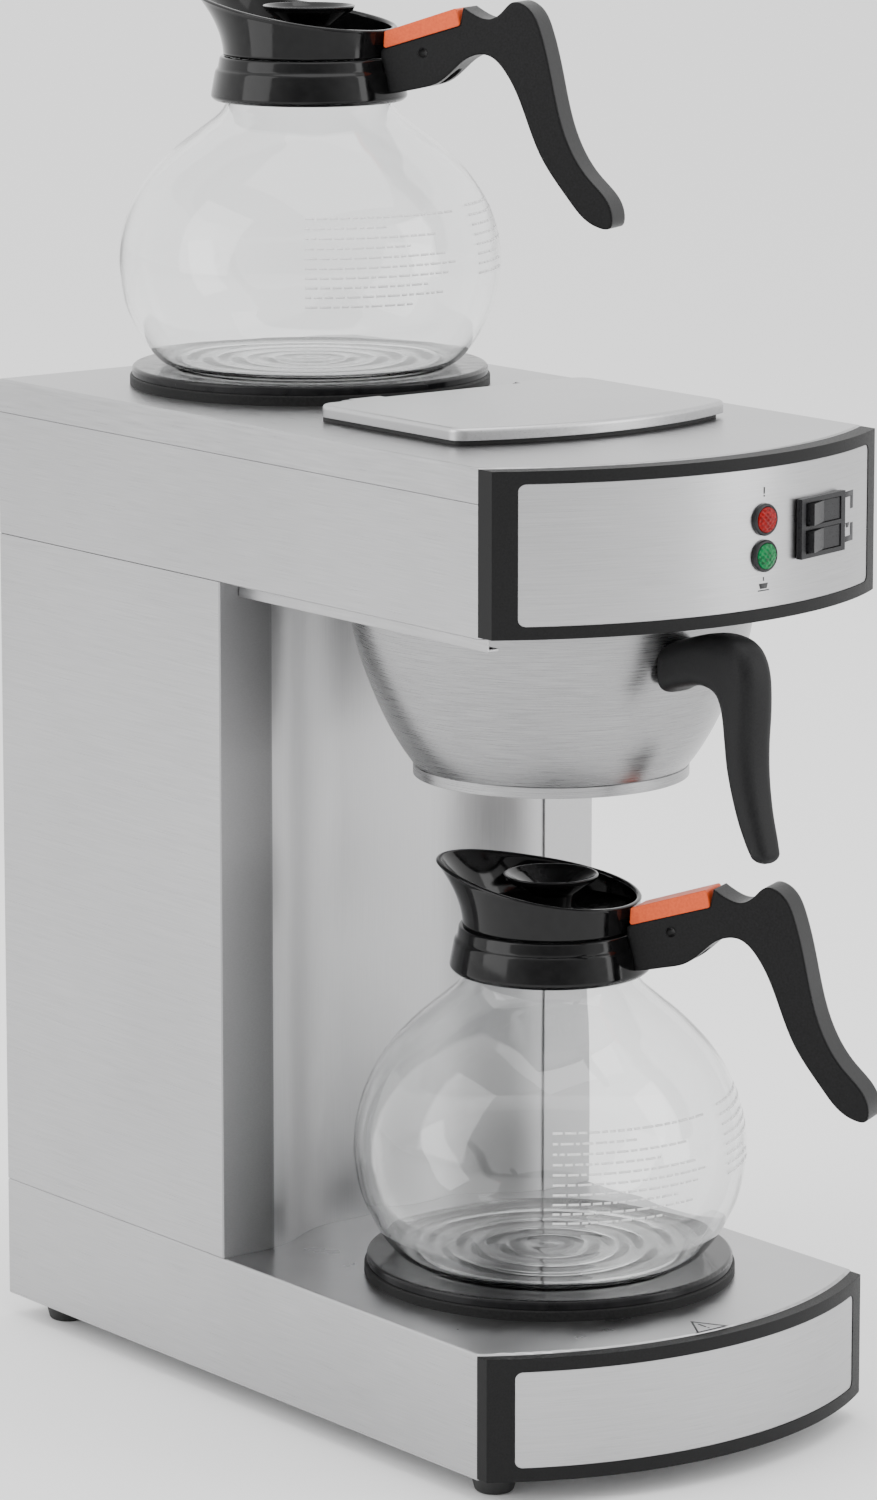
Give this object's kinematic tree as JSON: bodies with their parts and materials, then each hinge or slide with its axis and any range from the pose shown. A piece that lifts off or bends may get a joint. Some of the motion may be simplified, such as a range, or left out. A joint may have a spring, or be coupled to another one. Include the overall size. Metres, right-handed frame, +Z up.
{
  "type": "commercial coffee brewer",
  "caption": "Pour-over commercial coffee brewer in brushed steel with a sliding brew basket, a hinged fill lid, warmers below and on top, and glass decanters.",
  "frame": {"origin": "on the floor under the middle of the whole machine's box, between the casing's sides and half way from the cable gland's end to the front of the basket grip", "axes": "+Z up, -Y is the front with the controls, +X is the side of the switch, to the right of a person facing the front"},
  "size_m": [0.205, 0.4221, 0.6038],
  "materials": {
    "stainless_sheet": "fine brushed",
    "fascia_plastic": "fine moulded texture",
    "warmer_enamel": "gloss black coating",
    "warmer_ring_black": "matt black",
    "heating_element": "satin",
    "rubber_black": "matt",
    "zinc_screw": "bright zinc",
    "basket_steel": "spun",
    "grip_black": "fine moulded texture",
    "decanter_black": "gloss moulded",
    "decanter_tag_orange": "satin moulded",
    "decanter_glass": "clear",
    "red_lens": "clear tinted",
    "green_lens": "clear tinted",
    "switch_black": "satin moulded",
    "tube_silicone": "satin",
    "tank_steel": "2B mill",
    "terminal_plastic": "matt",
    "gland_plastic": "matt"
  },
  "bodies": {
    "machine": {"base_bottom_plate": "stainless_sheet", "base_shell": "stainless_sheet", "basket_rail_left": "stainless_sheet", "basket_rail_right": "stainless_sheet", "cable_gland": "gland_plastic", "column_shell": "stainless_sheet", "column_splash": "stainless_sheet", "fill_basin": "tank_steel", "fill_gasket": "rubber_black", "fill_tube": "tube_silicone", "foot_front_left": "rubber_black", "foot_front_right": "rubber_black", "foot_rear_left": "rubber_black", "foot_rear_right": "rubber_black", "foot_screws": "zinc_screw", "green_lamp": "green_lens", "housing_shell": "stainless_sheet", "lid_hinge_pin": "zinc_screw", "lower_fascia_frame": "fascia_plastic", "lower_fascia_insert": "stainless_sheet", "lower_warmer_element": "heating_element", "lower_warmer_plate": "warmer_enamel", "lower_warmer_ring": "warmer_ring_black", "outlet_tube": "tube_silicone", "rear_screws": "zinc_screw", "red_lamp": "red_lens", "spray_head": "tank_steel", "switch_bezel": "switch_black", "tank_heater": "heating_element", "terminal_block": "terminal_plastic", "top_cover": "stainless_sheet", "upper_fascia_frame": "fascia_plastic", "upper_fascia_insert": "stainless_sheet", "upper_warmer_element": "heating_element", "upper_warmer_plate": "warmer_enamel", "upper_warmer_ring": "warmer_ring_black", "water_tank": "tank_steel"},
    "fill_lid": {"lid": "stainless_sheet"},
    "upper_rocker": {"rocker_upper": "switch_black"},
    "lower_rocker": {"rocker_lower": "switch_black"},
    "basket": {"basket_bowl": "basket_steel", "basket_handle": "grip_black", "basket_handle_screws": "zinc_screw", "filter_rack": "tank_steel"},
    "lower_decanter": {"lower_decanter_brew_cup": "decanter_black", "lower_decanter_collar": "decanter_black", "lower_decanter_glass": "decanter_glass", "lower_decanter_handle": "decanter_black", "lower_decanter_handle_screw": "zinc_screw", "lower_decanter_handle_tag": "decanter_tag_orange", "lower_decanter_spout_funnel": "decanter_black"},
    "upper_decanter": {"upper_decanter_brew_cup": "decanter_black", "upper_decanter_collar": "decanter_black", "upper_decanter_glass": "decanter_glass", "upper_decanter_handle": "decanter_black", "upper_decanter_handle_screw": "zinc_screw", "upper_decanter_handle_tag": "decanter_tag_orange", "upper_decanter_spout_funnel": "decanter_black"}
  },
  "joints": [
    {"name": "lid_hinge", "type": "hinge", "parent": "machine", "child": "fill_lid", "pos_m": [0, 0.00575, 0.4362], "axis": [-1, 0, 0], "range_deg": [0, 56]},
    {"name": "upper_rocker_tilt", "type": "hinge", "parent": "machine", "child": "upper_rocker", "pos_m": [0.04813, -0.17496, 0.4045], "axis": [0, 0, -1], "range_deg": [0, 14]},
    {"name": "lower_rocker_tilt", "type": "hinge", "parent": "machine", "child": "lower_rocker", "pos_m": [0.04813, -0.17496, 0.3931], "axis": [0, 0, -1], "range_deg": [0, 14]},
    {"name": "basket_slide", "type": "slide", "parent": "machine", "child": "basket", "axis": [0, -1, 0], "range_m": [0, 0.19]},
    {"name": "lower_decanter_pull", "type": "slide", "parent": "machine", "child": "lower_decanter", "axis": [0, -1, 0], "range_m": [0, 0.25]},
    {"name": "upper_decanter_lift", "type": "slide", "parent": "machine", "child": "upper_decanter", "axis": [0, 0, 1], "range_m": [0, 0.15]}
  ]
}
